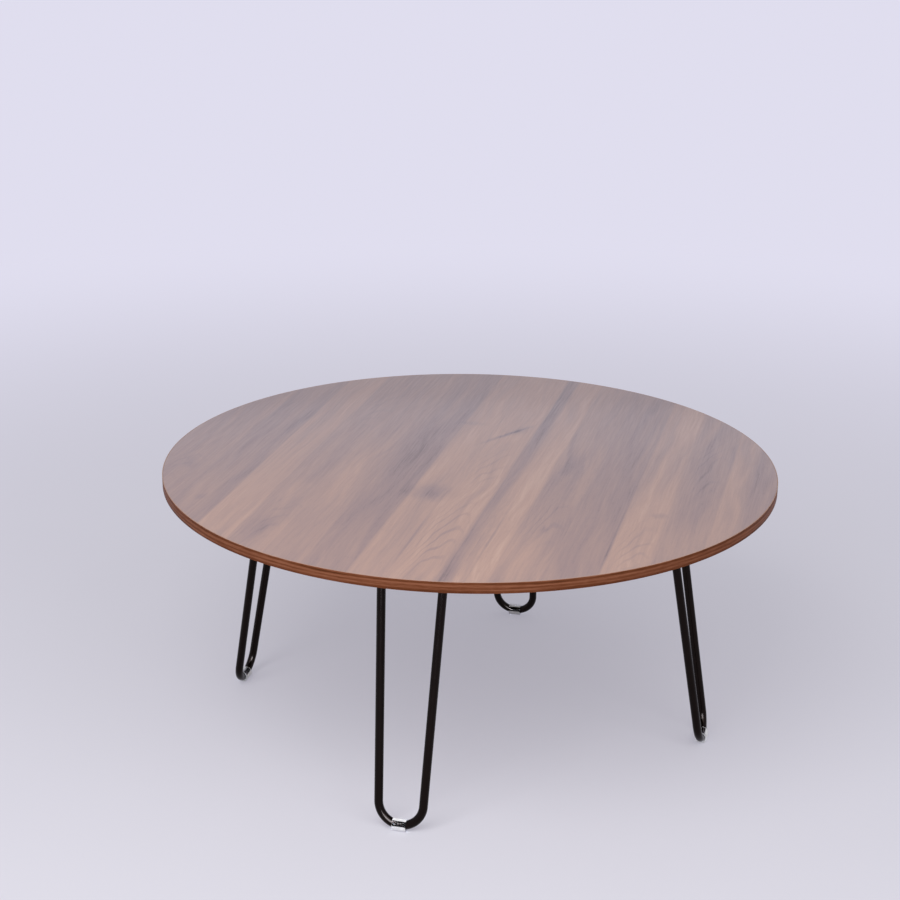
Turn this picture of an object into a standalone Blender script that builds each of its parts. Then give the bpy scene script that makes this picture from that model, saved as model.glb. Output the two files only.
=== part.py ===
"""Round low coffee table: an edge-banded, laminated board on four splayed hairpin legs.

Metres, +Z up. The origin is on the floor under the middle of the top.
The front leg stands at -Y, and the grain of the top runs along Y.
"""

import math

import bmesh
import bpy
from mathutils import Matrix, Vector

# Overall size
TOP_DIAMETER = 0.800
TABLE_HEIGHT = 0.364

# Layers of the top, from its upper face down
LAMINATE_THICKNESS = 0.0006
CORE_THICKNESS = 0.0120
BACKER_THICKNESS = 0.0004
GLUE_LINE = 0.0002

# Edge band round the top, one strip whose two ends butt together
BAND_THICKNESS = 0.0010
BAND_ARRIS = 0.0004
BAND_BUTT_GAP = 0.0003
BAND_BUTT_ANGLE = math.radians(90)

# Hairpin legs, each one round bar bent to a U and leaning outwards
ROD_DIAMETER = 0.0108
LEG_INSET = 0.131
LEG_LEAN = math.radians(9.5)
ARM_SPACING = 0.0774
BEND_RADIUS = 0.0282
WELD_LEG = 0.0032

# Steel plate welded to the top of each leg, wider at the bar than inboard
PLATE_THICKNESS = 0.0030
PLATE_OUTER_MARGIN = 0.0150
PLATE_INNER_MARGIN = 0.0450
PLATE_SIDE_MARGIN = 0.0155
PLATE_INNER_WIDTH = 0.0600
PLATE_CORNER = 0.0080

# Pan-head wood screws that hold each plate to the board
SCREW_SHANK = 0.0040
SCREW_HEAD = 0.0080
SCREW_HEAD_HEIGHT = 0.0026
SCREW_POINT = 0.0030
SCREW_TIP_COVER = 0.0030
SCREW_EDGE_MARGIN = 0.0100
SCREW_MIDDLE_SETBACK = 0.0180

# Clear sleeve pressed over the bend of each leg through its slit, straight outside, standing on the floor
FOOT_WALL = 0.0021
FOOT_LENGTH = 0.0176
FOOT_SLIT = 0.0016
FOOT_FLAT_DEPTH = 0.0006

# Running gap kept between pieces that touch
FIT_GAP = 0.0003

# Facets of the round pieces
TOP_SEGMENTS = 120
ROD_SEGMENTS = 16
BEND_STEPS = 16
SCREW_SEGMENTS = 12
FOOT_ARC_STEPS = 14
FOOT_LENGTH_STEPS = 8
SMOOTH_ANGLE = math.radians(35)

# Sizes that follow from those above
TOP_THICKNESS = LAMINATE_THICKNESS + CORE_THICKNESS + BACKER_THICKNESS + 2 * GLUE_LINE
UNDERSIDE = TABLE_HEIGHT - TOP_THICKNESS
CORE_BOTTOM = UNDERSIDE + BACKER_THICKNESS + GLUE_LINE
BOARD_RADIUS = TOP_DIAMETER / 2 - BAND_THICKNESS - FIT_GAP
LEG_TOP_RADIUS = TOP_DIAMETER / 2 - LEG_INSET

ROD_RADIUS = ROD_DIAMETER / 2
FOOT_INNER_RADIUS = ROD_RADIUS + FIT_GAP
FOOT_OUTER_RADIUS = FOOT_INNER_RADIUS + FOOT_WALL
PLATE_DROP = FIT_GAP + PLATE_THICKNESS
PLATE_BOTTOM = UNDERSIDE - PLATE_DROP

# The bar climbs away from its lowest point inside the sleeve, whose axis runs at half that climb
FOOT_END_TURN = math.asin(FOOT_LENGTH / 2 / BEND_RADIUS)
FOOT_RISE = BEND_RADIUS * (1 - math.cos(FOOT_END_TURN)) / 2
BORE_HALF_HEIGHT = FOOT_INNER_RADIUS / math.cos(FOOT_END_TURN)
BEND_BOTTOM_HEIGHT = FOOT_OUTER_RADIUS - FOOT_FLAT_DEPTH - FOOT_RISE * math.cos(LEG_LEAN)
HAIRPIN_LENGTH = (PLATE_BOTTOM - BEND_BOTTOM_HEIGHT) / math.cos(LEG_LEAN)

# In the hairpin's own plane, each arm runs from the plate to a tangent on the bend
ARM_OFFSET = ARM_SPACING / 2
BEND_DROP = HAIRPIN_LENGTH - BEND_RADIUS
ARM_REACH = math.hypot(ARM_OFFSET, BEND_DROP)
ARM_LENGTH = math.sqrt(ARM_REACH**2 - BEND_RADIUS**2)
ARM_SPLAY = math.acos(BEND_RADIUS / ARM_REACH) - math.atan2(BEND_DROP, ARM_OFFSET)
BEND_CENTRE = Vector((0, 0, -BEND_DROP))
LEAN = Matrix.Rotation(-LEG_LEAN, 3, "Y")

PLATE_OUTER_WIDTH = ARM_SPACING + 2 * PLATE_SIDE_MARGIN
SCREW_TIP = CORE_BOTTOM + CORE_THICKNESS - SCREW_TIP_COVER
SCREW_SEAT = PLATE_BOTTOM - FIT_GAP
SCREW_LENGTH = SCREW_TIP - SCREW_SEAT

LEG_ANGLES = {
    "front": math.radians(-90),
    "right": math.radians(0),
    "back": math.radians(90),
    "left": math.radians(180),
}


def clear_scene():
    for obj in list(bpy.data.objects):
        bpy.data.objects.remove(obj, do_unlink=True)


def make_material(name, colour, roughness, metallic=0.0, alpha=1.0):
    material = bpy.data.materials.new(name)
    material.use_nodes = True
    shader = material.node_tree.nodes["Principled BSDF"]
    shader.inputs["Base Color"].default_value = (*colour, 1.0)
    shader.inputs["Roughness"].default_value = roughness
    shader.inputs["Metallic"].default_value = metallic
    shader.inputs["Alpha"].default_value = alpha
    return material


def make_mesh(name, bm, material):
    """The bmesh as a mesh with its faces pointing out, shaded smooth across its shallow angles."""
    bmesh.ops.recalc_face_normals(bm, faces=bm.faces)
    mesh = bpy.data.meshes.new(name)
    bm.to_mesh(mesh)
    bm.free()
    mesh.materials.append(material)
    mesh.shade_smooth()
    mesh.set_sharp_from_angle(angle=SMOOTH_ANGLE)
    return mesh


def place(name, mesh, parent=None, location=(0, 0, 0), rotation=(0, 0, 0)):
    obj = bpy.data.objects.new(name, mesh)
    bpy.context.scene.collection.objects.link(obj)
    obj.parent = parent
    obj.location = location
    obj.rotation_euler = rotation
    return obj


def cut_away(bm, point, normal):
    """Removes what lies beyond a plane, on the side that its normal points to, and closes the cut."""
    everything = bm.verts[:] + bm.edges[:] + bm.faces[:]
    cut = bmesh.ops.bisect_plane(
        bm, geom=everything, plane_co=point, plane_no=normal, clear_outer=True
    )
    rim = [item for item in cut["geom_cut"] if isinstance(item, bmesh.types.BMEdge)]
    bmesh.ops.edgeloop_fill(bm, edges=rim)


def drill(obj, cutter):
    hole = obj.modifiers.new("screw_holes", "BOOLEAN")
    hole.operation = "DIFFERENCE"
    hole.object = cutter


def disc_mesh(name, bottom, thickness, material):
    bm = bmesh.new()
    bmesh.ops.create_circle(
        bm, cap_ends=True, radius=BOARD_RADIUS, segments=TOP_SEGMENTS
    )
    bmesh.ops.translate(bm, verts=bm.verts, vec=(0, 0, bottom))
    raised = bmesh.ops.extrude_face_region(bm, geom=bm.faces[:])
    upper = [item for item in raised["geom"] if isinstance(item, bmesh.types.BMVert)]
    bmesh.ops.translate(bm, verts=upper, vec=(0, 0, thickness))
    return make_mesh(name, bm, material)


def edge_band_mesh(material):
    """A strip with eased outer arrises, swept round the board from one butt end to the other."""
    outer = TOP_DIAMETER / 2
    inner = outer - BAND_THICKNESS
    bm = bmesh.new()
    corners = ((inner, UNDERSIDE), (outer, UNDERSIDE), (outer, TABLE_HEIGHT), (inner, TABLE_HEIGHT))
    verts = [bm.verts.new((radius, 0, height)) for radius, height in corners]
    bm.faces.new(verts)
    bmesh.ops.bevel(
        bm, geom=verts[1:3], offset=BAND_ARRIS, affect="VERTICES", segments=2, profile=0.5, material=-1
    )
    butt_turn = BAND_BUTT_GAP / outer
    start = Matrix.Rotation(BAND_BUTT_ANGLE + butt_turn / 2, 3, "Z")
    bmesh.ops.rotate(bm, verts=bm.verts, cent=(0, 0, 0), matrix=start)
    bmesh.ops.spin(
        bm,
        geom=bm.verts[:] + bm.edges[:] + bm.faces[:],
        cent=(0, 0, 0),
        axis=(0, 0, 1),
        angle=math.tau - butt_turn,
        steps=TOP_SEGMENTS,
    )
    return make_mesh("edge_band", bm, material)


def arm_stations():
    """Distance up an arm from the bend, and the bar's radius there: plain bar, then a hollow weld fillet."""
    weld_radius = ROD_RADIUS + WELD_LEG
    past_plate = weld_radius
    return (
        (ARM_LENGTH - WELD_LEG, ROD_RADIUS),
        (ARM_LENGTH - WELD_LEG / 2, ROD_RADIUS + WELD_LEG / 5),
        (ARM_LENGTH, weld_radius),
        (ARM_LENGTH + past_plate, weld_radius),
    )


def draw_arm(bm, ring, foot, direction):
    """Draws a bar out from a ring of edges at the bend, and flares it into its weld."""
    centre, radius = foot, ROD_RADIUS
    for distance, next_radius in arm_stations():
        drawn = bmesh.ops.extrude_edge_only(bm, edges=ring)["geom"]
        verts = [item for item in drawn if isinstance(item, bmesh.types.BMVert)]
        ring = [e for e in drawn if isinstance(e, bmesh.types.BMEdge) and set(e.verts) <= set(verts)]
        next_centre = foot + direction * distance
        for vert in verts:
            vert.co = next_centre + (vert.co - centre) * (next_radius / radius)
        centre, radius = next_centre, next_radius


def hairpin_mesh(material):
    """One bar in the YZ plane: a bend, two splayed arms and their welds, cut flush under the plate."""
    bm = bmesh.new()
    right_foot = BEND_CENTRE + BEND_RADIUS * Vector((0, math.cos(ARM_SPLAY), -math.sin(ARM_SPLAY)))
    left_foot = right_foot * Vector((1, -1, 1))
    right_up = Vector((0, math.sin(ARM_SPLAY), math.cos(ARM_SPLAY)))
    left_up = right_up * Vector((1, -1, 1))
    square_to_arm = Matrix.Translation(right_foot) @ Matrix.Rotation(-ARM_SPLAY, 4, "X")
    bmesh.ops.create_circle(bm, radius=ROD_RADIUS, segments=ROD_SEGMENTS, matrix=square_to_arm)
    right_ring = bm.edges[:]
    bend = bmesh.ops.spin(
        bm,
        geom=bm.verts[:] + right_ring,
        cent=BEND_CENTRE,
        axis=(1, 0, 0),
        angle=2 * ARM_SPLAY - math.pi,
        steps=BEND_STEPS,
    )
    left_ring = [item for item in bend["geom_last"] if isinstance(item, bmesh.types.BMEdge)]
    draw_arm(bm, right_ring, right_foot, right_up)
    draw_arm(bm, left_ring, left_foot, left_up)
    to_leaning = LEAN.inverted()
    cut_away(bm, to_leaning @ Vector((0, 0, -FIT_GAP)), to_leaning @ Vector((0, 0, 1)))
    return make_mesh("hairpin_rod", bm, material)


def slit_arc(centre, half_width, half_height):
    """Points round an ellipse in the XZ plane, from one side of the sleeve's slit at the top to the other."""
    edge = math.asin(FOOT_SLIT / 2 / half_width)
    angles = [edge + (math.tau - 2 * edge) * step / FOOT_ARC_STEPS for step in range(FOOT_ARC_STEPS + 1)]
    return [centre + Vector((half_width * math.sin(a), 0, half_height * math.cos(a))) for a in angles]


def foot_sleeve_mesh(material):
    """A slit sleeve, straight outside, with a bore that follows the bend and a flat where it meets the floor."""
    bm = bmesh.new()
    sections = []
    for step in range(FOOT_LENGTH_STEPS + 1):
        along = FOOT_LENGTH * (step / FOOT_LENGTH_STEPS - 0.5)
        bar = BEND_CENTRE + Vector((0, along, -math.sqrt(BEND_RADIUS**2 - along**2)))
        axis = BEND_CENTRE + Vector((0, along, FOOT_RISE - BEND_RADIUS))
        outer = slit_arc(axis, FOOT_OUTER_RADIUS, FOOT_OUTER_RADIUS)
        bore = slit_arc(bar, FOOT_INNER_RADIUS, BORE_HALF_HEIGHT)
        sections.append([bm.verts.new(point) for point in outer + bore[::-1]])
    for near, far in zip(sections, sections[1:]):
        for corner in range(len(near)):
            bm.faces.new((near[corner - 1], near[corner], far[corner], far[corner - 1]))
    for end in (sections[0], sections[-1]):
        bm.faces.new(end)
    to_leaning = LEAN.inverted()
    cut_away(bm, to_leaning @ Vector((0, 0, -PLATE_BOTTOM)), to_leaning @ Vector((0, 0, -1)))
    return make_mesh("foot_sleeve", bm, material)


def plate_half_width(setback):
    """Half the plate's width at a distance inboard of the line between the arms."""
    share = (setback + PLATE_OUTER_MARGIN) / (PLATE_INNER_MARGIN + PLATE_OUTER_MARGIN)
    return (PLATE_OUTER_WIDTH + (PLATE_INNER_WIDTH - PLATE_OUTER_WIDTH) * share) / 2


def plate_mesh(material):
    outer, inner = PLATE_OUTER_MARGIN, -PLATE_INNER_MARGIN
    wide, narrow = PLATE_OUTER_WIDTH / 2, PLATE_INNER_WIDTH / 2
    bm = bmesh.new()
    outline = ((outer, -wide), (outer, wide), (inner, narrow), (inner, -narrow))
    corners = [bm.verts.new((x, y, -PLATE_DROP)) for x, y in outline]
    bm.faces.new(corners)
    bmesh.ops.bevel(
        bm, geom=corners, offset=PLATE_CORNER, affect="VERTICES", segments=5, profile=0.5, material=-1
    )
    raised = bmesh.ops.extrude_face_region(bm, geom=bm.faces[:])
    upper = [item for item in raised["geom"] if isinstance(item, bmesh.types.BMVert)]
    bmesh.ops.translate(bm, verts=upper, vec=(0, 0, PLATE_THICKNESS))
    return make_mesh("mounting_plate", bm, material)


def screw_places():
    """The five screws of a plate, as (outboard, sideways) from the middle of the line between the arms."""
    inner_setback = PLATE_INNER_MARGIN - SCREW_EDGE_MARGIN
    inner_side = PLATE_INNER_WIDTH / 2 - SCREW_EDGE_MARGIN
    middle_side = plate_half_width(SCREW_MIDDLE_SETBACK) - SCREW_EDGE_MARGIN
    return (
        (0, 0),
        (-SCREW_MIDDLE_SETBACK, middle_side),
        (-SCREW_MIDDLE_SETBACK, -middle_side),
        (-inner_setback, inner_side),
        (-inner_setback, -inner_side),
    )


def screw_mesh(material):
    """A turned screw, point up, with its head's bearing face at the origin."""
    shank, head = SCREW_SHANK / 2, SCREW_HEAD / 2
    brim = SCREW_HEAD_HEIGHT / 2
    dome = [
        (head * math.cos(a), -brim - (SCREW_HEAD_HEIGHT - brim) * math.sin(a))
        for a in (math.radians(angle) for angle in (0, 30, 60))
    ]
    profile = [(0, SCREW_LENGTH), (shank, SCREW_LENGTH - SCREW_POINT), (shank, 0), (head, 0)]
    profile += [*dome, (0, -SCREW_HEAD_HEIGHT)]
    bm = bmesh.new()
    verts = [bm.verts.new((radius, 0, height)) for radius, height in profile]
    for above, below in zip(verts, verts[1:]):
        bm.edges.new((above, below))
    bmesh.ops.spin(
        bm,
        geom=bm.verts[:] + bm.edges[:],
        cent=(0, 0, 0),
        axis=(0, 0, 1),
        angle=math.tau,
        steps=SCREW_SEGMENTS,
        use_merge=True,
    )
    bmesh.ops.remove_doubles(bm, verts=bm.verts, dist=FIT_GAP / 1000)
    return make_mesh("wood_screw", bm, material)


def screw_hole_cutter(legs):
    """Every screw hole of the table in one hidden cutter, from under the plates to past the screws' tips."""
    top = SCREW_TIP + FIT_GAP
    bottom = PLATE_BOTTOM - PLATE_THICKNESS
    bm = bmesh.new()
    for leg in legs:
        for outboard, sideways in screw_places():
            middle = Vector((outboard, sideways, (top + bottom) / 2 - UNDERSIDE))
            bmesh.ops.create_cone(
                bm,
                cap_ends=True,
                segments=SCREW_SEGMENTS,
                radius1=SCREW_SHANK / 2 + FIT_GAP,
                radius2=SCREW_SHANK / 2 + FIT_GAP,
                depth=top - bottom,
                matrix=leg.matrix_basis @ Matrix.Translation(middle),
            )
    mesh = bpy.data.meshes.new("screw_holes")
    bm.to_mesh(mesh)
    bm.free()
    cutter = place("screw_holes", mesh)
    cutter.hide_render = True
    cutter.display_type = "WIRE"
    return cutter


def leg_seat(name, angle):
    """An empty on the underside of the top, midway between a leg's arms, with X pointing outboard."""
    location = (LEG_TOP_RADIUS * math.cos(angle), LEG_TOP_RADIUS * math.sin(angle), UNDERSIDE)
    return place(f"leg_seat_{name}", None, location=location, rotation=(0, 0, angle))


def build_top(cutter):
    walnut = make_material("walnut_laminate", (0.32, 0.20, 0.15), 0.35)
    board = make_material("fibreboard", (0.36, 0.24, 0.14), 0.85)
    backing = make_material("backing_sheet", (0.20, 0.13, 0.09), 0.60)
    band = make_material("brown_edge_band", (0.21, 0.085, 0.045), 0.45)

    laminate_bottom = TABLE_HEIGHT - LAMINATE_THICKNESS
    place("top_laminate", disc_mesh("top_laminate", laminate_bottom, LAMINATE_THICKNESS, walnut))
    core = place("core_board", disc_mesh("core_board", CORE_BOTTOM, CORE_THICKNESS, board))
    backer = place("backing_sheet", disc_mesh("backing_sheet", UNDERSIDE, BACKER_THICKNESS, backing))
    place("edge_band", edge_band_mesh(band))
    drill(core, cutter)
    drill(backer, cutter)


def build_legs(seats, cutter):
    black = make_material("black_powder_coat", (0.012, 0.011, 0.011), 0.40)
    zinc = make_material("blackened_screw", (0.03, 0.03, 0.032), 0.35, metallic=0.8)
    clear = make_material("clear_vinyl", (0.85, 0.86, 0.90), 0.15, alpha=0.35)
    hairpin, sleeve = hairpin_mesh(black), foot_sleeve_mesh(clear)
    plate, screw = plate_mesh(black), screw_mesh(zinc)

    under_plate = (0, 0, -PLATE_DROP)
    leaning = (0, -LEG_LEAN, 0)
    for name, seat in seats.items():
        drill(place(f"mounting_plate_{name}", plate, seat), cutter)
        place(f"hairpin_rod_{name}", hairpin, seat, under_plate, leaning)
        place(f"foot_sleeve_{name}", sleeve, seat, under_plate, leaning)
        for number, (outboard, sideways) in enumerate(screw_places(), start=1):
            location = (outboard, sideways, SCREW_SEAT - UNDERSIDE)
            place(f"screw_{name}_{number}", screw, seat, location)


def main():
    clear_scene()
    seats = {name: leg_seat(name, angle) for name, angle in LEG_ANGLES.items()}
    bpy.context.view_layer.update()
    cutter = screw_hole_cutter(seats.values())
    build_top(cutter)
    build_legs(seats, cutter)


main()
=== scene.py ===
"""Round coffee table with hairpin legs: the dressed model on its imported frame, staged and lit.

Metres, +Z up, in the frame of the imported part. The grain of the top runs along Y.
"""

import math

import bmesh
import bpy
from mathutils import Matrix, Vector


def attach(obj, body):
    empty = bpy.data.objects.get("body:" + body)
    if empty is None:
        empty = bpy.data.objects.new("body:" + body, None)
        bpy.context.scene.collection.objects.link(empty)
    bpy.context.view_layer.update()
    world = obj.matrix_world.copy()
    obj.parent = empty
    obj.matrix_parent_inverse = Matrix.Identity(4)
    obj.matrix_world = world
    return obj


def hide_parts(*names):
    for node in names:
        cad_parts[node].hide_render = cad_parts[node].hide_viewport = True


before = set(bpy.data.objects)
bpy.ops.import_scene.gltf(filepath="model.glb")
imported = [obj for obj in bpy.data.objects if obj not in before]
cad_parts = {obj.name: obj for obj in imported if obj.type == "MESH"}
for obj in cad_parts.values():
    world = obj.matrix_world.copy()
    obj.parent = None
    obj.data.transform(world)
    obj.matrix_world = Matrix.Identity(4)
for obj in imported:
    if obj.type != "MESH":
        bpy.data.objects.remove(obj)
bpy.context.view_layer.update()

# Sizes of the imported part
TOP_RADIUS = 0.400
TABLE_HEIGHT = 0.364
TOP_THICKNESS = 0.0134
LAMINATE_THICKNESS = 0.0006
LAMINATE_RADIUS = 0.3989
BAND_THICKNESS = 0.0010
BAND_ARRIS = 0.0004
BAND_BUTT_GAP = 0.0003
BAND_BUTT_ANGLE = math.radians(90)
ROD_RADIUS = 0.0054
LEG_TOP_RADIUS = 0.269
LEG_LEAN = math.radians(9.5)
ARM_OFFSET = 0.0387
BEND_RADIUS = 0.0282
WELD_LEG = 0.0032
PLATE_GAP = 0.0003
PLATE_THICKNESS = 0.0030
PLATE_OUTER_MARGIN = 0.0150
PLATE_INNER_MARGIN = 0.0450
PLATE_SIDE_MARGIN = 0.0155
PLATE_INNER_WIDTH = 0.0600
PLATE_CORNER = 0.0080
SCREW_HEAD_RADIUS = 0.0040
SCREW_HEAD_HEIGHT = 0.0026
SCREW_SHANK_RADIUS = 0.0020
SCREW_SHANK_LENGTH = 0.0132
SCREW_POINT = 0.0030
SCREW_EDGE_MARGIN = 0.0100
SCREW_MIDDLE_SETBACK = 0.0180
SLEEVE_OUTER_RADIUS = 0.0078
SLEEVE_INNER_RADIUS = 0.0057
SLEEVE_LENGTH = 0.0176
SLEEVE_SLIT = 0.0016
SLEEVE_FLAT_DEPTH = 0.0006

# Fine detail of the dressed model alone
LAMINATE_ARRIS = 0.0001
PLATE_ARRIS = 0.0004
SLEEVE_ARRIS = 0.0002
RECESS_HALF_WIDTH = 0.0005
RECESS_HALF_LENGTH = 0.0021
RECESS_DEPTH = 0.0013
SCREW_BRIM_SHARE = 0.4
SCREW_TURN = 1.1
WELD_RIPPLES = 16
WELD_RIPPLE_SHARE = 0.022

# Steps round and along what is curved
TOP_STEPS = 360
ROD_STEPS = 40
BEND_STEPS = 48
WELD_STEPS = 96
SCREW_STEPS = 32
SLEEVE_ROUND_STEPS = 64
SLEEVE_LENGTH_STEPS = 16
FLOOR_STEPS = 96

# Sizes that follow from those above
UNDERSIDE = TABLE_HEIGHT - TOP_THICKNESS
PLATE_DROP = PLATE_GAP + PLATE_THICKNESS
PLATE_BOTTOM = UNDERSIDE - PLATE_DROP
PLATE_OUTER_WIDTH = 2 * (ARM_OFFSET + PLATE_SIDE_MARGIN)
SLEEVE_END_TURN = math.asin(SLEEVE_LENGTH / 2 / BEND_RADIUS)
SLEEVE_RISE = BEND_RADIUS * (1 - math.cos(SLEEVE_END_TURN)) / 2
BEND_BOTTOM = SLEEVE_OUTER_RADIUS - SLEEVE_FLAT_DEPTH - SLEEVE_RISE * math.cos(LEG_LEAN)
HAIRPIN_LENGTH = (PLATE_BOTTOM - BEND_BOTTOM) / math.cos(LEG_LEAN)

# Legs by name, at their angle round the top
LEG_ANGLES = {
    "front": math.radians(-90),
    "right": math.radians(0),
    "back": math.radians(90),
    "left": math.radians(180),
}

# Planks printed on the top: left edge, half width of that edge's blur, and lightness
PLANKS = (
    (-0.4000, 0.0005, 0.40),
    (-0.3300, 0.0060, 0.48),
    (-0.3190, 0.0015, 0.37),
    (-0.2575, 0.0007, 0.70),
    (-0.2075, 0.0020, 0.46),
    (-0.1550, 0.0080, 0.52),
    (-0.1000, 0.0120, 0.34),
    (-0.0410, 0.0006, 0.66),
    (0.0025, 0.0020, 0.73),
    (0.0595, 0.0004, 0.31),
    (0.0775, 0.0040, 0.76),
    (0.1140, 0.0030, 0.46),
    (0.1700, 0.0005, 0.36),
    (0.2310, 0.0006, 0.73),
    (0.2800, 0.0040, 0.40),
    (0.3350, 0.0007, 0.63),
    (0.3650, 0.0060, 0.38),
)

# Knots, smudges and lighter patches in the print: place, half sizes, turn, darkening
PATCHES = (
    ((-0.0180, -0.1250), (0.046, 0.042), 0.15, 0.30),
    ((-0.0080, -0.1420), (0.014, 0.030), 0.30, 0.10),
    ((-0.0300, 0.1550), (0.028, 0.012), 0.00, 0.20),
    ((0.1425, -0.2100), (0.006, 0.018), 0.00, 0.22),
    ((-0.2875, -0.2200), (0.010, 0.016), 0.00, 0.16),
    ((-0.3480, -0.1050), (0.016, 0.040), 0.40, 0.14),
    ((0.2700, -0.1300), (0.016, 0.013), 0.00, 0.22),
    ((0.1380, 0.0200), (0.018, 0.070), 0.00, 0.18),
    ((0.1600, -0.0300), (0.012, 0.150), 0.00, -0.18),
    ((-0.1850, -0.3000), (0.022, 0.060), 0.00, 0.16),
    ((-0.1800, -0.1650), (0.018, 0.060), 0.00, -0.18),
    ((-0.1350, -0.1200), (0.020, 0.160), 0.05, -0.16),
    ((-0.0800, 0.0300), (0.050, 0.200), 0.10, 0.08),
    ((-0.0720, -0.3100), (0.044, 0.150), 0.00, -0.12),
    ((0.0260, 0.1200), (0.076, 0.0064), 1.05, 0.50),
    ((0.0390, 0.1420), (0.042, 0.0190), 1.00, 0.16),
    ((0.0400, 0.1080), (0.014, 0.034), 0.00, -0.14),
    ((0.0840, -0.2200), (0.0085, 0.220), 0.00, 0.18),
    ((0.0950, 0.1200), (0.030, 0.220), 0.00, 0.14),
    ((0.1400, -0.3200), (0.040, 0.110), 0.00, -0.12),
    ((0.2550, 0.0600), (0.036, 0.200), 0.00, 0.14),
    ((0.3050, 0.0500), (0.036, 0.180), 0.00, 0.05),
    ((0.3050, -0.2200), (0.036, 0.110), 0.00, -0.18),
    ((-0.2320, 0.1200), (0.036, 0.220), 0.00, 0.12),
    ((-0.1300, 0.1400), (0.042, 0.150), 0.00, 0.10),
)

# Dark hairlines along the planks: place, half sizes, turn, darkening
HAIRLINES = (
    ((0.0015, -0.2750), (0.0030, 0.140), 0.0, 0.32),
    ((0.0905, -0.2400), (0.0026, 0.200), 0.0, 0.26),
    ((0.2285, -0.2300), (0.0028, 0.160), 0.0, 0.22),
)

# Regions where the arched figure shows: place, half sizes, turn, strength
FIGURES = (
    ((0.0310, -0.2700), (0.036, 0.190), 0.0, 1.0),
    ((0.0310, -0.0200), (0.034, 0.130), 0.0, 0.6),
    ((-0.1800, -0.2600), (0.032, 0.160), 0.0, 0.3),
    ((0.2550, -0.2400), (0.030, 0.120), 0.0, 0.7),
    ((0.1420, -0.1900), (0.034, 0.110), 0.0, 0.6),
    ((-0.3620, -0.0800), (0.040, 0.140), 0.0, 0.3),
    ((0.3070, 0.0500), (0.034, 0.180), 0.0, 0.4),
    ((-0.1800, 0.2000), (0.034, 0.160), 0.0, 0.4),
)

# Noises along the grain of the top: stretch, scale, detail, roughness and distortion
FIBRE = (0.03, 400, 4, 0.70, 0.0)
STREAK = (0.04, 90, 3, 0.60, 0.4)
DRIFT = (0.08, 42, 2, 0.5, 0.4)
SPECK = (0.12, 600, 2, 0.5, 0.0)
ARCH_NOISE = (0.25, 26, 2, 0.5, 0.0)

# Strength of each layer of the top's print, and the darkest tone under figure, pores and knots
FIBRE_STRENGTH = 0.45
STREAK_STRENGTH = 0.95
DRIFT_STRENGTH = 0.58
FIGURE_STRENGTH = 0.30
PORE_STRENGTH = 0.08
DARKEST_TONE = 0.14

# Arched figure: spacing of its lines, place of its crown across a plank, bow and sway
ARCH_SPACING = 0.046
ARCH_CROWN = 0.016
ARCH_BOW = 110.0
ARCH_SWAY = 0.15

# Streaks printed on the edge band: height as a share of the band's, and lightness
BAND_STREAKS = (
    (0.00, 0.34),
    (0.10, 0.27),
    (0.18, 0.35),
    (0.25, 0.60),
    (0.33, 0.80),
    (0.40, 0.56),
    (0.48, 0.42),
    (0.55, 0.62),
    (0.63, 0.80),
    (0.70, 0.72),
    (0.77, 0.36),
    (0.82, 0.25),
    (0.88, 0.38),
    (0.95, 0.64),
)

# Depths below the top at which the painted highlight along the band's upper arris starts and is full
BAND_HIGHLIGHT_START = 0.0003
BAND_HIGHLIGHT_FULL = 0.0001

# Softboxes: name, place, target, size and power
SOFTBOXES = (
    ("front_softbox", (-0.30, -1.60, 1.75), (0, -0.1, 0.3), 1.5, 31),
    ("right_softbox", (1.5, -1.4, 1.8), (0, -0.2, 0.2), 1.6, 17),
)

# Window of light in the gloss of the bars: place, target, size, power and colour
WINDOW = ((0.36, -1.50, 0.90), (0.36, 0, 0.90), 1.1, 140)
WINDOW_COLOUR = (0.70, 0.86, 1.0)

# Pale surround as it shows, and the soft light that it gives
SURROUND = (0.745, 0.730, 0.860)
SOFT_LIGHT = (0.98, 0.97, 1.0)
SOFT_STRENGTH = 0.40

# Floor: radius, radii over which it fades into the surround, and the surround's share there
FLOOR_RADIUS = 30
FLOOR_FADE = (0.5, 3.0)
FLOOR_SHARES = (0.40, 1.0)

# Photograph's camera, with its picture's width and centre and its lens in pixels
PICTURE_WIDTH = 900
PICTURE_CENTRE = 400
CAMERA_PLACE = (0.50000, -2.06845, 1.11902)
CAMERA_PITCH = 0.334883
CAMERA_HEADING = -0.279418
CAMERA_FOCUS = 1711.78


# Shader nodes


def feed(tree, socket, value):
    if isinstance(value, bpy.types.NodeSocket):
        tree.links.new(value, socket)
    else:
        socket.default_value = value


def add_node(tree, kind, inputs, **settings):
    """A node with its settings made, and its inputs linked or set."""
    made = tree.nodes.new(kind)
    for name, value in settings.items():
        setattr(made, name, value)
    for key, value in inputs.items():
        feed(tree, made.inputs[key], value)
    return made


def maths(tree, operation, first, second=0.0, third=0.0):
    return add_node(tree, "ShaderNodeMath", {0: first, 1: second, 2: third}, operation=operation).outputs[0]


def vector_maths(tree, operation, first, second):
    return add_node(tree, "ShaderNodeVectorMath", {0: first, 1: second}, operation=operation).outputs[0]


def stretched(tree, vector, factors):
    return vector_maths(tree, "MULTIPLY", vector, factors)


def vector_product(tree, first, second):
    made = add_node(tree, "ShaderNodeVectorMath", {0: first, 1: second}, operation="DOT_PRODUCT")
    return made.outputs["Value"]


def vector_length(tree, vector):
    return add_node(tree, "ShaderNodeVectorMath", {0: vector}, operation="LENGTH").outputs["Value"]


def blend_values(tree, factor, first, second):
    return add_node(tree, "ShaderNodeMix", {0: factor, 2: first, 3: second}, data_type="FLOAT").outputs[0]


def combine(tree, x, y, z):
    return add_node(tree, "ShaderNodeCombineXYZ", {"X": x, "Y": y, "Z": z}).outputs[0]


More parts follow.
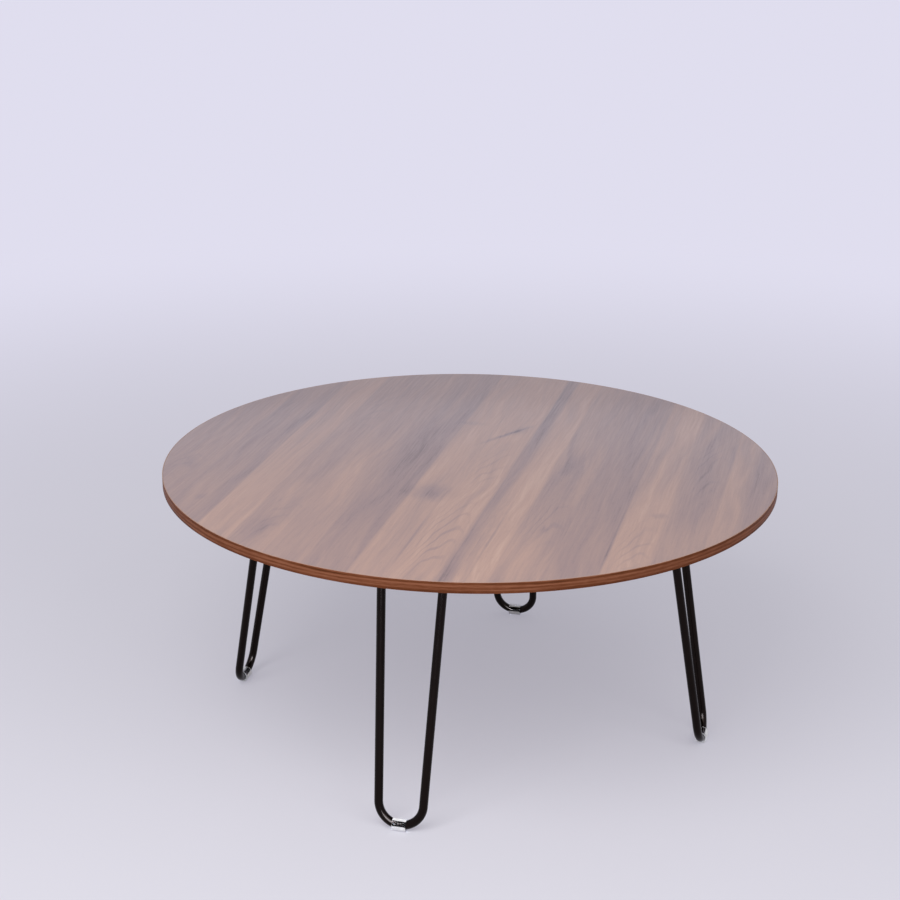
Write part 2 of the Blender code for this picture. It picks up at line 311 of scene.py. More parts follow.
def noise(tree, vector, scale, detail=2.0, roughness=0.5, distortion=0.0):
    inputs = {"Vector": vector, "Scale": scale, "Detail": detail, "Roughness": roughness}
    return add_node(tree, "ShaderNodeTexNoise", {**inputs, "Distortion": distortion}).outputs[0]


def map_range(tree, value, low, high, to_low=0.0, to_high=1.0):
    inputs = {"Value": value, "From Min": low, "From Max": high, "To Min": to_low, "To Max": to_high}
    return add_node(tree, "ShaderNodeMapRange", inputs, interpolation_type="SMOOTHSTEP").outputs[0]


def colour_ramp(tree, factor, stops, interpolation="LINEAR"):
    made = add_node(tree, "ShaderNodeValToRGB", {0: factor})
    made.color_ramp.interpolation = interpolation
    elements = made.color_ramp.elements
    elements.remove(elements[1])
    elements[0].position = stops[0][0]
    elements[0].color = (*stops[0][1], 1)
    for position, colour in stops[1:]:
        elements.new(position).color = (*colour, 1)
    return made.outputs[0]


def bump(tree, height, strength, distance):
    inputs = {"Height": height, "Strength": strength, "Distance": distance}
    return add_node(tree, "ShaderNodeBump", inputs).outputs[0]


def new_material(name):
    """An empty Principled material: its node tree, its shader and the surface's own coordinates."""
    material = bpy.data.materials.new(name)
    material.use_nodes = True
    tree = material.node_tree
    place = tree.nodes.new("ShaderNodeTexCoord").outputs["Object"]
    return material, tree, tree.nodes["Principled BSDF"].inputs, place


# Finishes


def plank_ramp(tree, across, colours):
    """One colour for each printed plank, by its place across the top."""
    edges = [0.5 + left / (2 * TOP_RADIUS) for left, _, _ in PLANKS]
    return colour_ramp(tree, across, list(zip(edges, colours)), "CONSTANT")


def plank_tones(tree, across):
    """Lightness of the planks, each running into the next over its edge's blur."""
    stops = []
    for (_, _, before), (left, blur, after) in zip(PLANKS, PLANKS[1:]):
        stops += [(left - blur, before), (left + blur, after)]
    shares = [(0.5 + place / (2 * TOP_RADIUS), (light,) * 3) for place, light in stops]
    return colour_ramp(tree, across, shares)


def plank_middles():
    """Middle of each plank as a share of the top's width."""
    lefts = [left for left, _, _ in PLANKS]
    rights = [*lefts[1:], TOP_RADIUS]
    return [0.5 + (left + right) / (4 * TOP_RADIUS) for left, right in zip(lefts, rights)]


def soft_patches(tree, flat, patches):
    """Sum of patches, each fading out over an ellipse."""
    total = 0.0
    for (x, y), (half_width, half_length), turn, strength in patches:
        inputs = {
            "Vector": flat,
            "Location": (x, y, 0),
            "Rotation": (0, 0, turn),
            "Scale": (half_width, half_length, 1),
        }
        local = add_node(tree, "ShaderNodeMapping", inputs, vector_type="TEXTURE").outputs[0]
        faded = map_range(tree, vector_length(tree, local), 0.1, 1.0, strength, 0.0)
        total = maths(tree, "ADD", total, faded)
    return total


def centred(tree, value, amount, onto):
    """Adds a noise to a value, about the noise's middle."""
    return maths(tree, "MULTIPLY_ADD", maths(tree, "SUBTRACT", value, 0.5), amount, onto)


def swayed_grain(tree, split, along, seed, scale, detail, amount):
    """Coordinates that follow a plank's grain, swayed sideways by a noise."""
    sway = noise(tree, combine(tree, split["X"], along, seed), scale, detail)
    return combine(tree, centred(tree, sway, amount, split["X"]), along, maths(tree, "MULTIPLY", seed, 5.0))


def grain_noise(tree, grain, stretch, scale, detail, roughness, distortion):
    return noise(tree, stretched(tree, grain, (1, stretch, 1)), scale, detail, roughness, distortion)


def dress(tree, shader, colour, texture, roughness, relief):
    """Feeds a colour, and a texture that varies the roughness and raises the surface."""
    feed(tree, shader["Base Color"], colour)
    feed(tree, shader["Roughness"], map_range(tree, texture, 0.3, 0.7, *roughness))
    feed(tree, shader["Normal"], bump(tree, texture, *relief))


def walnut_laminate():
    """Satin wood print: planks along Y with fibre, streaks, pores, arched figure and knots."""
    material, tree, shader, place = new_material("walnut_laminate")
    split = add_node(tree, "ShaderNodeSeparateXYZ", {0: place}).outputs
    waver = noise(tree, stretched(tree, place, (60, 12, 1)), 1.0)
    across = maths(tree, "MULTIPLY_ADD", centred(tree, waver, 0.0012, split["X"]), 0.5 / TOP_RADIUS, 0.5)

    tone = plank_tones(tree, across)
    seed = plank_ramp(tree, across, [((0.07 + index * 0.618) % 1,) * 3 for index in range(len(PLANKS))])
    middle = plank_ramp(tree, across, [(share,) * 3 for share in plank_middles()])

    shifted = maths(tree, "MULTIPLY_ADD", seed, 7.0, split["Y"])
    grain = swayed_grain(tree, split, shifted, seed, 5.0, 2, 0.012)
    flow = swayed_grain(tree, split, shifted, seed, 6.0, 1, 0.034)
    fibre = grain_noise(tree, grain, *FIBRE)
    streak = grain_noise(tree, flow, *STREAK)
    drift = grain_noise(tree, flow, *DRIFT)
    pores = map_range(tree, grain_noise(tree, grain, *SPECK), 0.56, 0.70)

    flat = combine(tree, split["X"], split["Y"], 0.0)
    aside = maths(tree, "MULTIPLY", maths(tree, "SUBTRACT", across, middle), 2 * TOP_RADIUS)
    offset = maths(tree, "SUBTRACT", aside, ARCH_CROWN)
    bow = maths(tree, "MULTIPLY", maths(tree, "MULTIPLY", offset, offset), ARCH_BOW)
    sway = grain_noise(tree, grain, *ARCH_NOISE)
    arch = maths(tree, "MULTIPLY_ADD", sway, ARCH_SWAY, maths(tree, "ADD", split["Y"], bow))
    rings = maths(tree, "SINE", maths(tree, "MULTIPLY", arch, math.tau / ARCH_SPACING))
    lines = maths(tree, "MULTIPLY", map_range(tree, rings, 0.45, 1.0), soft_patches(tree, flat, FIGURES))

    ragged = noise(tree, stretched(tree, flat, (160, 45, 1)), 1.0, 3)
    shove = centred(tree, ragged, 0.014, 0.0)
    shoved = vector_maths(tree, "ADD", flat, combine(tree, shove, shove, 0.0))

    shade = centred(tree, fibre, FIBRE_STRENGTH, tone)
    shade = centred(tree, streak, maths(tree, "MULTIPLY", tone, STREAK_STRENGTH), shade)
    shade = maths(tree, "MAXIMUM", centred(tree, drift, DRIFT_STRENGTH, shade), DARKEST_TONE)
    shade = maths(tree, "MULTIPLY_ADD", lines, -FIGURE_STRENGTH, shade)
    shade = maths(tree, "MULTIPLY_ADD", pores, -PORE_STRENGTH, shade)
    shade = maths(tree, "SUBTRACT", shade, soft_patches(tree, shoved, PATCHES))
    shade = maths(tree, "SUBTRACT", shade, soft_patches(tree, flat, HAIRLINES))
    wood = (
        (0.00, (0.120, 0.084, 0.086)),
        (0.25, (0.260, 0.180, 0.174)),
        (0.50, (0.332, 0.221, 0.192)),
        (0.75, (0.400, 0.257, 0.207)),
        (1.00, (0.478, 0.319, 0.252)),
    )
    shader["Specular IOR Level"].default_value = 0.80
    feed(tree, shader["Base Color"], colour_ramp(tree, shade, wood))
    feed(tree, shader["Roughness"], map_range(tree, fibre, 0.3, 0.7, 0.36, 0.28))
    relief = maths(tree, "MULTIPLY_ADD", pores, -0.8, fibre)
    feed(tree, shader["Normal"], bump(tree, relief, 0.06, 0.0003))
    return material


def edge_band_print():
    """Satin brown strip with long dark streaks round the edge, and a pale line painted along its upper
    arris as a highlight.
    """
    material, tree, shader, place = new_material("edge_band_print")
    height = add_node(tree, "ShaderNodeSeparateXYZ", {0: place}).outputs["Z"]
    wander = noise(tree, stretched(tree, place, (5, 5, 90)), 1.0, 3)
    level = centred(tree, wander, 0.0050, height)
    share = maths(tree, "DIVIDE", maths(tree, "SUBTRACT", level, UNDERSIDE), TOP_THICKNESS)
    broad = noise(tree, stretched(tree, place, (11, 11, 380)), 1.0, 2, 0.5, 0.3)
    fine = noise(tree, stretched(tree, place, (14, 14, 1500)), 1.0, 3, 0.6)
    speck = noise(tree, stretched(tree, place, (70, 70, 800)), 1.0, 3, 0.6)
    shade = colour_ramp(tree, share, [(position, (light,) * 3) for position, light in BAND_STREAKS])
    shade = centred(tree, broad, 0.85, shade)
    shade = centred(tree, fine, 0.65, shade)
    shade = maths(tree, "MINIMUM", centred(tree, speck, 1.00, shade), 0.90)
    # Painted highlight: the band's top fraction of a millimetre is lifted to the ramp's pale last stop, as
    # if its arris caught the light
    line = map_range(tree, height, TABLE_HEIGHT - BAND_HIGHLIGHT_START, TABLE_HEIGHT - BAND_HIGHLIGHT_FULL)
    streaks = (
        (0.05, (0.086, 0.026, 0.010)),
        (0.40, (0.140, 0.043, 0.018)),
        (0.70, (0.194, 0.069, 0.035)),
        (0.90, (0.232, 0.088, 0.046)),
        # Pale stop for the painted highlight on the upper arris
        (1.00, (0.400, 0.270, 0.215)),
    )
    shader["Specular IOR Level"].default_value = 0.03
    colour = colour_ramp(tree, maths(tree, "MAXIMUM", shade, line), streaks)
    dress(tree, shader, colour, fine, (0.36, 0.48), (0.10, 0.0002))
    return material


def black_powder_coat():
    """Satin black coat with a fine orange peel."""
    material, tree, shader, place = new_material("black_powder_coat")
    shader["Specular IOR Level"].default_value = 0.15
    shader["Specular Tint"].default_value = (0.95, 0.70, 0.62, 1)
    peel = noise(tree, place, 1500, 2)
    cloud = noise(tree, place, 60, 3)
    blacks = ((0.35, (0.0010, 0.0006, 0.0005)), (0.65, (0.0022, 0.0014, 0.0012)))
    dress(tree, shader, colour_ramp(tree, cloud, blacks), peel, (0.14, 0.20), (0.03, 0.0001))
    return material


def black_screw():
    """Blackened steel, brighter on its worn high spots."""
    material, tree, shader, place = new_material("blackened_screw")
    shader["Metallic"].default_value = 0.8
    wear = noise(tree, place, 700, 3, 0.6)
    steels = ((0.35, (0.022, 0.022, 0.024)), (0.60, (0.045, 0.045, 0.048)), (0.75, (0.110, 0.110, 0.115)))
    dress(tree, shader, colour_ramp(tree, wear, steels), wear, (0.45, 0.30), (0.10, 0.0001))
    return material


def squared_view(tree, normal):
    """Squared cosine between the line of sight and the surface's normal, or another direction."""
    facing = add_node(tree, "ShaderNodeLayerWeight", {"Blend": 0.5, **normal}).outputs["Facing"]
    cosine = maths(tree, "SUBTRACT", 1.0, facing)
    return maths(tree, "MULTIPLY", cosine, cosine)


def clear_vinyl():
    """Clear plastic tube, milky towards the outline where its wall is seen edge on."""
    material, tree, shader, place = new_material("clear_vinyl")
    shader["IOR"].default_value = 1.0
    shader["Coat Weight"].default_value = 0.15
    shader["Coat Roughness"].default_value = 0.15
    square = vector_maths(tree, "CROSS_PRODUCT", place, (0, 0, 1))
    along = vector_maths(tree, "NORMALIZE", square, (0, 0, 0))
    wall = squared_view(tree, {})
    end_on = squared_view(tree, {"Normal": along})
    square_on = maths(tree, "DIVIDE", wall, maths(tree, "SUBTRACT", 1.0, end_on))
    geometry = tree.nodes.new("ShaderNodeNewGeometry").outputs
    lengthwise = vector_product(tree, geometry["Normal"], along)
    is_end = map_range(tree, maths(tree, "MULTIPLY", lengthwise, lengthwise), 0.03, 0.12)
    wall_clear = map_range(tree, square_on, 0.74, 0.86, 0.10, 1.0)
    end_clear = map_range(tree, end_on, 0.30, 0.60, 1.0, 0.10)
    clearness = blend_values(tree, is_end, wall_clear, end_clear)
    feed(tree, shader["Transmission Weight"], maths(tree, "MAXIMUM", clearness, geometry["Backfacing"]))
    cloud = noise(tree, place, 350, 3)
    milks = ((0.35, (0.90, 0.90, 0.94)), (0.65, (0.97, 0.97, 0.99)))
    dress(tree, shader, colour_ramp(tree, cloud, milks), cloud, (0.02, 0.06), (0.02, 0.0002))
    return material


def backing_sheet():
    """Matt brown balancing paper, faintly fibrous along the grain."""
    material, tree, shader, place = new_material("backing_sheet")
    fibre = noise(tree, stretched(tree, place, (1, 0.06, 1)), 420, 4, 0.6)
    cloud = noise(tree, place, 18, 3)
    shade = maths(tree, "MULTIPLY_ADD", cloud, 0.35, maths(tree, "MULTIPLY", fibre, 0.65))
    browns = ((0.30, (0.135, 0.082, 0.055)), (0.50, (0.200, 0.130, 0.090)), (0.70, (0.270, 0.180, 0.125)))
    dress(tree, shader, colour_ramp(tree, shade, browns), fibre, (0.55, 0.70), (0.15, 0.0002))
    return material


def fibreboard():
    """Raw board with fine loose fibres."""
    material, tree, shader, place = new_material("fibreboard")
    fibre = noise(tree, place, 900, 4, 0.7)
    browns = ((0.30, (0.270, 0.175, 0.100)), (0.70, (0.430, 0.295, 0.180)))
    dress(tree, shader, colour_ramp(tree, fibre, browns), fibre, (0.80, 0.92), (0.30, 0.0004))
    return material


# Pieces


def add_object(name, data):
    made = bpy.data.objects.new(name, data)
    bpy.context.scene.collection.objects.link(made)
    return made


def finish_piece(name, bm, material, node, sharp_angle=35):
    """Makes the bmesh a smooth-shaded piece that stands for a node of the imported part."""
    bmesh.ops.recalc_face_normals(bm, faces=bm.faces)
    mesh = bpy.data.meshes.new(name)
    bm.to_mesh(mesh)
    bm.free()
    mesh.materials.append(material)
    mesh.shade_smooth()
    mesh.set_sharp_from_angle(angle=math.radians(sharp_angle))
    piece = add_object(name, mesh)
    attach(piece, "root")
    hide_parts(node)


def everything(bm):
    return bm.verts[:] + bm.edges[:] + bm.faces[:]


def new_verts(result):
    return [item for item in result["geom"] if isinstance(item, bmesh.types.BMVert)]


def edges_among(items):
    return [item for item in items if isinstance(item, bmesh.types.BMEdge)]


def bevel(bm, items, width, segments, affect="EDGES"):
    bmesh.ops.bevel(
        bm, geom=items, offset=width, affect=affect, segments=segments, profile=0.5, material=-1
    )


def cut_level(bm, height, discard):
    """Cuts level at a height, discards what is above (1) or below (-1), and closes the cut."""
    cut = bmesh.ops.bisect_plane(
        bm, geom=everything(bm), plane_co=(0, 0, height), plane_no=(0, 0, discard), clear_outer=True
    )
    bmesh.ops.edgeloop_fill(bm, edges=edges_among(cut["geom_cut"]))


def laminate_sheet(material):
    bm = bmesh.new()
    bmesh.ops.create_circle(bm, cap_ends=True, radius=LAMINATE_RADIUS, segments=TOP_STEPS)
    bmesh.ops.translate(bm, verts=bm.verts, vec=(0, 0, TABLE_HEIGHT))
    lowered = bmesh.ops.extrude_face_region(bm, geom=bm.faces[:])
    bmesh.ops.translate(bm, verts=new_verts(lowered), vec=(0, 0, -LAMINATE_THICKNESS))
    lower = TABLE_HEIGHT - LAMINATE_ARRIS
    rim = [edge for edge in bm.edges if all(vert.co.z > lower for vert in edge.verts)]
    bevel(bm, rim, LAMINATE_ARRIS, 2)
    finish_piece("laminate_sheet", bm, material, "top_laminate")


def edge_band_strip(material):
    """The strip's section with eased outer arrises, swept from one butt end to the other."""
    bm = bmesh.new()
    inner = TOP_RADIUS - BAND_THICKNESS
    lower, upper = UNDERSIDE, TABLE_HEIGHT
    outline = ((inner, lower), (TOP_RADIUS, lower), (TOP_RADIUS, upper), (inner, upper))
    corners = [bm.verts.new((radius, 0, height)) for radius, height in outline]
    bm.faces.new(corners)
    bevel(bm, corners[1:3], BAND_ARRIS, 5, "VERTICES")
    butt_turn = BAND_BUTT_GAP / TOP_RADIUS
    start = Matrix.Rotation(BAND_BUTT_ANGLE + butt_turn / 2, 3, "Z")
    bmesh.ops.rotate(bm, verts=bm.verts, cent=(0, 0, 0), matrix=start)
    sweep = math.tau - butt_turn
    bmesh.ops.spin(bm, geom=everything(bm), cent=(0, 0, 0), axis=(0, 0, 1), angle=sweep, steps=TOP_STEPS)
    finish_piece("edge_band_strip", bm, material, "edge_band", 50)


def seat_matrix(angle):
    """Under the top, midway between a leg's arms, with X pointing outboard."""
    place = Vector((LEG_TOP_RADIUS * math.cos(angle), LEG_TOP_RADIUS * math.sin(angle), UNDERSIDE))
    return Matrix.Translation(place) @ Matrix.Rotation(angle, 4, "Z")


def hairpin_matrix(angle):
    """The hairpin's own upright plane, hung under the plate and leant outwards."""
    drop = Matrix.Translation((0, 0, -PLATE_DROP))
    return seat_matrix(angle) @ drop @ Matrix.Rotation(-LEG_LEAN, 4, "Y")


def arm_line():
    """Splay of the arms, and the point where the right arm leaves the bend, in the hairpin's plane."""
    drop = HAIRPIN_LENGTH - BEND_RADIUS
    splay = math.acos(BEND_RADIUS / math.hypot(ARM_OFFSET, drop)) - math.atan2(drop, ARM_OFFSET)
    foot = Vector((0, BEND_RADIUS * math.cos(splay), -drop - BEND_RADIUS * math.sin(splay)))
    return splay, foot


def draw_arm(bm, ring, stretch):
    """Draws an arm out from the ring of edges at an end of the bend."""
    drawn = bmesh.ops.extrude_edge_only(bm, edges=ring)
    bmesh.ops.translate(bm, verts=new_verts(drawn), vec=stretch)


def weld_bead(bm, place):
    """A rippled bead round an arm where it meets the plate."""
    first = len(bm.verts)
    inside = ROD_RADIUS - WELD_LEG / 3
    turns = [math.radians(degrees) for degrees in (0, 22, 45, 68, 90)]
    bulge = [(ROD_RADIUS + WELD_LEG * math.cos(turn), -WELD_LEG * math.sin(turn)) for turn in turns]
    outline = [(inside, 0.0), *bulge, (inside, -WELD_LEG)]
    verts = [bm.verts.new(place + Vector((radius, 0, height))) for radius, height in outline]
    edges = [bm.edges.new(pair) for pair in zip(verts, [*verts[1:], verts[0]])]
    bmesh.ops.spin(
        bm, geom=verts + edges, cent=place, axis=(0, 0, 1), angle=math.tau, steps=WELD_STEPS, use_merge=True
    )
    for vert in bm.verts[first:]:
        arm = vert.co - place
        ripple = 1 + WELD_RIPPLE_SHARE * math.cos(WELD_RIPPLES * math.atan2(arm.y, arm.x))
        vert.co = place + Vector((arm.x * ripple, arm.y * ripple, arm.z))


def hairpin_leg(name, angle, material):
    bm = bmesh.new()
    splay, right_foot = arm_line()
    square_to_arm = Matrix.Translation(right_foot) @ Matrix.Rotation(-splay, 4, "X")
    bmesh.ops.create_circle(bm, radius=ROD_RADIUS, segments=ROD_STEPS, matrix=square_to_arm)
    right_ring = bm.edges[:]
    bend = bmesh.ops.spin(
        bm,
        geom=bm.verts[:] + right_ring,
        cent=(0, 0, BEND_RADIUS - HAIRPIN_LENGTH),
        axis=(1, 0, 0),
        angle=2 * splay - math.pi,
        steps=BEND_STEPS,
    )
    left_ring = edges_among(bend["geom_last"])
    past_plate = ROD_RADIUS * 2
    length = -right_foot.z / math.cos(splay) + past_plate
    for ring, side in ((right_ring, 1), (left_ring, -1)):
        draw_arm(bm, ring, Vector((0, side * math.sin(splay), math.cos(splay))) * length)
    bmesh.ops.transform(bm, matrix=hairpin_matrix(angle), verts=bm.verts)
    cut_level(bm, PLATE_BOTTOM, 1)
    for side in (-ARM_OFFSET, ARM_OFFSET):
        weld_bead(bm, seat_matrix(angle) @ Vector((0, side, -PLATE_DROP)))
    finish_piece(f"hairpin_leg_{name}", bm, material, f"hairpin_rod_{name}")


def mounting_plate(name, angle, material):
    bm = bmesh.new()
    wide, narrow = PLATE_OUTER_WIDTH / 2, PLATE_INNER_WIDTH / 2
    outer, inner = PLATE_OUTER_MARGIN, -PLATE_INNER_MARGIN
    outline = ((outer, -wide), (outer, wide), (inner, narrow), (inner, -narrow))
    corners = [bm.verts.new((x, y, -PLATE_DROP)) for x, y in outline]
    bm.faces.new(corners)
    bevel(bm, corners, PLATE_CORNER, 10, "VERTICES")
    raised = bmesh.ops.extrude_face_region(bm, geom=bm.faces[:])
    bmesh.ops.translate(bm, verts=new_verts(raised), vec=(0, 0, PLATE_THICKNESS))
    flat_edges = [edge for edge in bm.edges if abs(edge.verts[0].co.z - edge.verts[1].co.z) < PLATE_ARRIS]
    bevel(bm, flat_edges, PLATE_ARRIS, 3)
    bmesh.ops.transform(bm, matrix=seat_matrix(angle), verts=bm.verts)
    finish_piece(f"leg_plate_{name}", bm, material, f"mounting_plate_{name}")


def screw_places():
    """A plate's screws, outboard and sideways from the middle of the line between the arms."""
    taper = (PLATE_OUTER_WIDTH - PLATE_INNER_WIDTH) / 2 / (PLATE_OUTER_MARGIN + PLATE_INNER_MARGIN)
    half_width = PLATE_OUTER_WIDTH / 2 - taper * (PLATE_OUTER_MARGIN + SCREW_MIDDLE_SETBACK)
    middle_side = half_width - SCREW_EDGE_MARGIN
    inner_setback = PLATE_INNER_MARGIN - SCREW_EDGE_MARGIN
    inner_side = PLATE_INNER_WIDTH / 2 - SCREW_EDGE_MARGIN
    return (
        (0, 0),
        (-SCREW_MIDDLE_SETBACK, middle_side),
        (-SCREW_MIDDLE_SETBACK, -middle_side),
        (-inner_setback, inner_side),
        (-inner_setback, -inner_side),
    )


def cross_recess(bm):
    """Cuts the lines of a cross into a screw's head and sinks it."""
    for reach in (RECESS_HALF_WIDTH, RECESS_HALF_LENGTH):
        for axis in (Vector((1, 0, 0)), Vector((0, 1, 0))):
            for side in (-1, 1):
                head = [face for face in bm.faces if face.calc_center_median().z < -SCREW_HEAD_HEIGHT / 2]
                edges = {edge for face in head for edge in face.edges}
                verts = {vert for face in head for vert in face.verts}
                geometry = [*head, *edges, *verts]
                line = axis * side * reach
                bmesh.ops.bisect_plane(bm, geom=geometry, dist=1e-6, plane_co=line, plane_no=axis)
    cross = []
    for face in bm.faces:
        middle = face.calc_center_median()
        spread = sorted((abs(middle.x), abs(middle.y)))
        inside = spread[0] < RECESS_HALF_WIDTH and spread[1] < RECESS_HALF_LENGTH
        if inside and middle.z < -SCREW_HEAD_HEIGHT / 2:
            cross.append(face)
    sunk = bmesh.ops.extrude_face_region(bm, geom=cross)
    bmesh.ops.delete(bm, geom=cross, context="FACES")
    bmesh.ops.translate(bm, verts=new_verts(sunk), vec=(0, 0, RECESS_DEPTH))


def wood_screw(name, number, angle, place, material):
    """A turned pan-head screw, point up, with a cross recess."""
    bm = bmesh.new()
    brim = SCREW_HEAD_HEIGHT * SCREW_BRIM_SHARE
    dome = []
    for degrees in (0, 20, 40, 60, 75):
        climb = math.radians(degrees)
        height = -brim - (SCREW_HEAD_HEIGHT - brim) * math.sin(climb)
        dome.append((SCREW_HEAD_RADIUS * math.cos(climb), height))
    shank = [(0, SCREW_SHANK_LENGTH), (SCREW_SHANK_RADIUS, SCREW_SHANK_LENGTH - SCREW_POINT)]
    profile = [*shank, (SCREW_SHANK_RADIUS, 0), (SCREW_HEAD_RADIUS, 0), *dome, (0, -SCREW_HEAD_HEIGHT)]
    verts = [bm.verts.new((radius, 0, height)) for radius, height in profile]
    for above, below in zip(verts, verts[1:]):
        bm.edges.new((above, below))
    bmesh.ops.spin(
        bm,
        geom=everything(bm),
        cent=(0, 0, 0),
        axis=(0, 0, 1),
        angle=math.tau,
        steps=SCREW_STEPS,
        use_merge=True,
    )
    bmesh.ops.remove_doubles(bm, verts=bm.verts, dist=1e-7)
    cross_recess(bm)
    turn = Matrix.Rotation(number * SCREW_TURN + angle, 4, "Z")
    seat = Matrix.Translation((*place, -PLATE_DROP))
    bmesh.ops.transform(bm, matrix=seat_matrix(angle) @ seat @ turn, verts=bm.verts)
    finish_piece(f"wood_screw_{name}_{number}", bm, material, f"screw_{name}_{number}", 40)


def sleeve_wall(bm, radius, stretch, path):
    """An open arc of the sleeve, from lip to lip of its slit, drawn along a path of points."""
    lip = math.asin(SLEEVE_SLIT / 2 / radius)
    first = bm.verts.new(path[0] + Vector((radius * math.sin(lip), 0, radius * math.cos(lip))))
    sweep = math.tau - 2 * lip
    bmesh.ops.spin(bm, geom=[first], cent=path[0], axis=(0, 1, 0), angle=sweep, steps=SLEEVE_ROUND_STEPS)
    arc = [edge for edge in bm.edges if edge.is_wire]
    verts = list({vert for edge in arc for vert in edge.verts})
    bmesh.ops.scale(bm, verts=verts, vec=(1, 1, stretch), space=Matrix.Translation(-path[0]))
    for near, far in zip(path, path[1:]):
        drawn = bmesh.ops.extrude_edge_only(bm, edges=arc)
        verts = new_verts(drawn)
        bmesh.ops.translate(bm, verts=verts, vec=far - near)
        ahead = set(verts)
        arc = [edge for edge in bm.edges if edge.is_boundary and ahead.issuperset(edge.verts)]


def foot_sleeve(name, angle, material):
    """A slit sleeve, straight outside, with its bore following the bend and a flat on the floor."""
    bm = bmesh.new()
    shares = [step / SLEEVE_LENGTH_STEPS - 0.5 for step in range(SLEEVE_LENGTH_STEPS + 1)]
    places = [SLEEVE_LENGTH * share for share in shares]
    axis = [Vector((0, along, SLEEVE_RISE - HAIRPIN_LENGTH)) for along in places]
    bends = [BEND_RADIUS - HAIRPIN_LENGTH - math.sqrt(BEND_RADIUS**2 - along**2) for along in places]
    bar = [Vector((0, along, height)) for along, height in zip(places, bends)]
    sleeve_wall(bm, SLEEVE_OUTER_RADIUS, 1.0, axis)
    sleeve_wall(bm, SLEEVE_INNER_RADIUS, 1 / math.cos(SLEEVE_END_TURN), bar)
    lips = [edge for edge in bm.edges if edge.is_boundary]
    bmesh.ops.bridge_loops(bm, edges=lips)
    bmesh.ops.recalc_face_normals(bm, faces=bm.faces)
    bevel(bm, lips, SLEEVE_ARRIS, 2)
    bmesh.ops.transform(bm, matrix=hairpin_matrix(angle), verts=bm.verts)
    cut_level(bm, 0, -1)
    finish_piece(f"vinyl_foot_{name}", bm, material, f"foot_sleeve_{name}")


def build_table():
    laminate_sheet(walnut_laminate())
    edge_band_strip(edge_band_print())
    for node, material in (("backing_sheet", backing_sheet()), ("core_board", fibreboard())):
        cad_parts[node].data.materials.clear()
        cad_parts[node].data.materials.append(material)
    coat, steel, vinyl = black_powder_coat(), black_screw(), clear_vinyl()
    for name, angle in LEG_ANGLES.items():
        hairpin_leg(name, angle, coat)
        mounting_plate(name, angle, coat)
        foot_sleeve(name, angle, vinyl)
        for number, place in enumerate(screw_places(), start=1):
            wood_screw(name, number, angle, place, steel)


# Stage, light and camera


def pale_rays(tree):
    """One for the rays that show the surround itself, straight or in gloss and glass."""
    path = tree.nodes.new("ShaderNodeLightPath").outputs
    mirrored = maths(tree, "MAXIMUM", path["Is Glossy Ray"], path["Is Transmission Ray"])
    return maths(tree, "MAXIMUM", path["Is Camera Ray"], mirrored)


def build_floor():
    """A pale floor that keeps the shadow, fades into the surround and shows only from above."""
    material, tree, shader, place = new_material("pale_floor")
    cloud = noise(tree, place, 1.5, 2)
    pales = ((0.30, (0.700, 0.690, 0.730)), (0.70, (0.720, 0.710, 0.750)))
    feed(tree, shader["Base Color"], colour_ramp(tree, cloud, pales))
    shader["Roughness"].default_value = 0.9
    shader["Specular IOR Level"].default_value = 0.1
    fade = map_range(tree, vector_length(tree, place), *FLOOR_FADE, *FLOOR_SHARES)
    glow = add_node(tree, "ShaderNodeEmission", {"Color": (*SURROUND, 1), "Strength": 1.0}).outputs[0]
    solid = tree.nodes["Principled BSDF"].outputs[0]
    share = maths(tree, "MULTIPLY", fade, pale_rays(tree))
    seen = add_node(tree, "ShaderNodeMixShader", {0: share, 1: solid, 2: glow}).outputs[0]
    behind = tree.nodes.new("ShaderNodeNewGeometry").outputs["Backfacing"]
    clear = tree.nodes.new("ShaderNodeBsdfTransparent").outputs[0]
    sided = add_node(tree, "ShaderNodeMixShader", {0: behind, 1: seen, 2: clear}).outputs[0]
    tree.links.new(sided, tree.nodes["Material Output"].inputs["Surface"])
    bm = bmesh.new()
    bmesh.ops.create_circle(bm, cap_ends=True, radius=FLOOR_RADIUS, segments=FLOOR_STEPS)
    mesh = bpy.data.meshes.new("pale_floor")
    bm.to_mesh(mesh)
    bm.free()
    mesh.materials.append(material)
    floor = add_object("pale_floor", mesh)


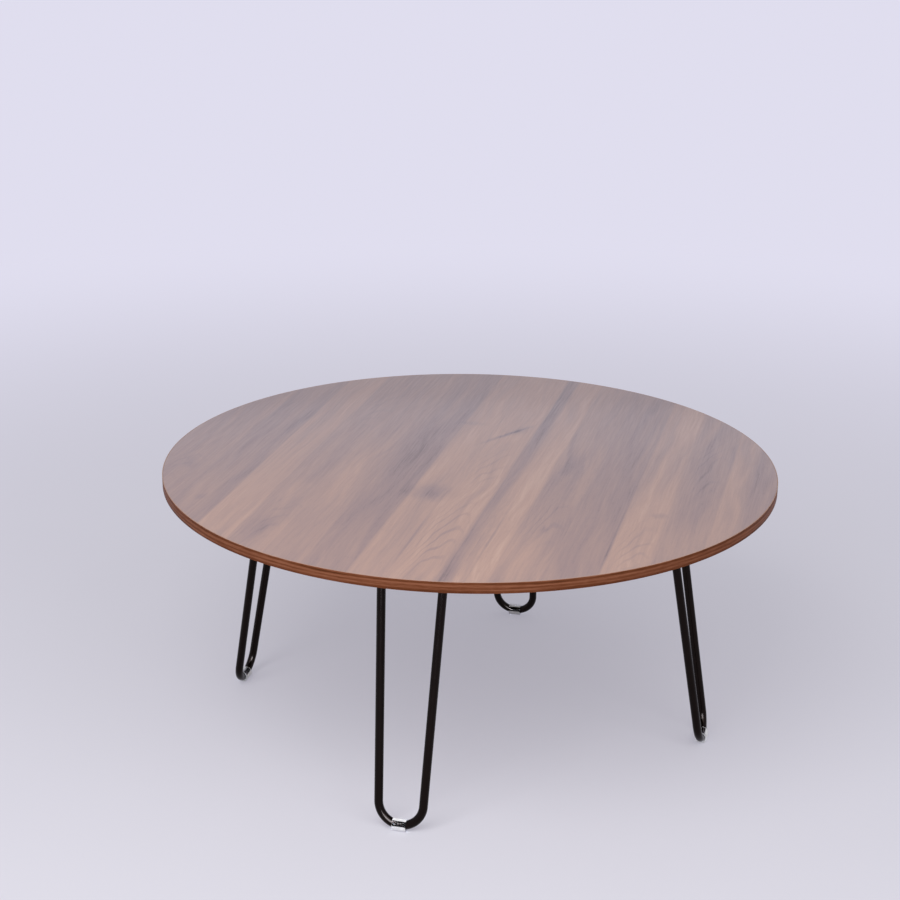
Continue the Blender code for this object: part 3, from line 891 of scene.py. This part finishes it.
def build_world():
    """An even surround that lights softly and shows as a pale wall."""
    world = bpy.data.worlds.new("pale_surround")
    bpy.context.scene.world = world
    world.use_nodes = True
    tree = world.node_tree
    soft = {"Color": (*SOFT_LIGHT, 1), "Strength": SOFT_STRENGTH}
    seen = {"Color": (*SURROUND, 1), "Strength": 1.0}
    light = add_node(tree, "ShaderNodeBackground", soft).outputs[0]
    wall = add_node(tree, "ShaderNodeBackground", seen).outputs[0]
    mixed = add_node(tree, "ShaderNodeMixShader", {0: pale_rays(tree), 1: light, 2: wall}).outputs[0]
    tree.links.new(mixed, tree.nodes["World Output"].inputs["Surface"])


def add_softbox(name, place, target, size, power):
    lamp = bpy.data.lights.new(name, "AREA")
    lamp.shape = "SQUARE"
    lamp.size = size
    lamp.energy = power
    softbox = add_object(name, lamp)
    softbox.location = place
    softbox.rotation_euler = (Vector(target) - Vector(place)).to_track_quat("-Z", "Y").to_euler()
    softbox.visible_camera = False
    return softbox


def add_window(place, target, size, power):
    """A wide low window of light that shows only in the gloss of the black bars and their feet."""
    bars = bpy.data.collections.new("bars_and_feet")
    for name in LEG_ANGLES:
        bars.objects.link(bpy.data.objects[f"hairpin_leg_{name}"])
        bars.objects.link(bpy.data.objects[f"vinyl_foot_{name}"])
    window = add_softbox("bar_window", place, target, size, power)
    window.data.color = WINDOW_COLOUR
    window.visible_diffuse = False
    window.light_linking.receiver_collection = bars


def build_camera():
    data = bpy.data.cameras.new("photo_camera")
    data.sensor_width = 36
    data.lens = CAMERA_FOCUS * data.sensor_width / PICTURE_WIDTH
    data.shift_x = (PICTURE_WIDTH / 2 - PICTURE_CENTRE) / PICTURE_WIDTH
    camera = add_object("photo_camera", data)
    camera.location = CAMERA_PLACE
    camera.rotation_euler = (math.pi / 2 - CAMERA_PITCH, 0, -CAMERA_HEADING)
    bpy.context.scene.camera = camera


build_table()
build_floor()
build_world()
for softbox in SOFTBOXES:
    add_softbox(*softbox)
add_window(*WINDOW)
build_camera()
bpy.context.scene.view_settings.view_transform = "Standard"

bpy.context.view_layer.update()
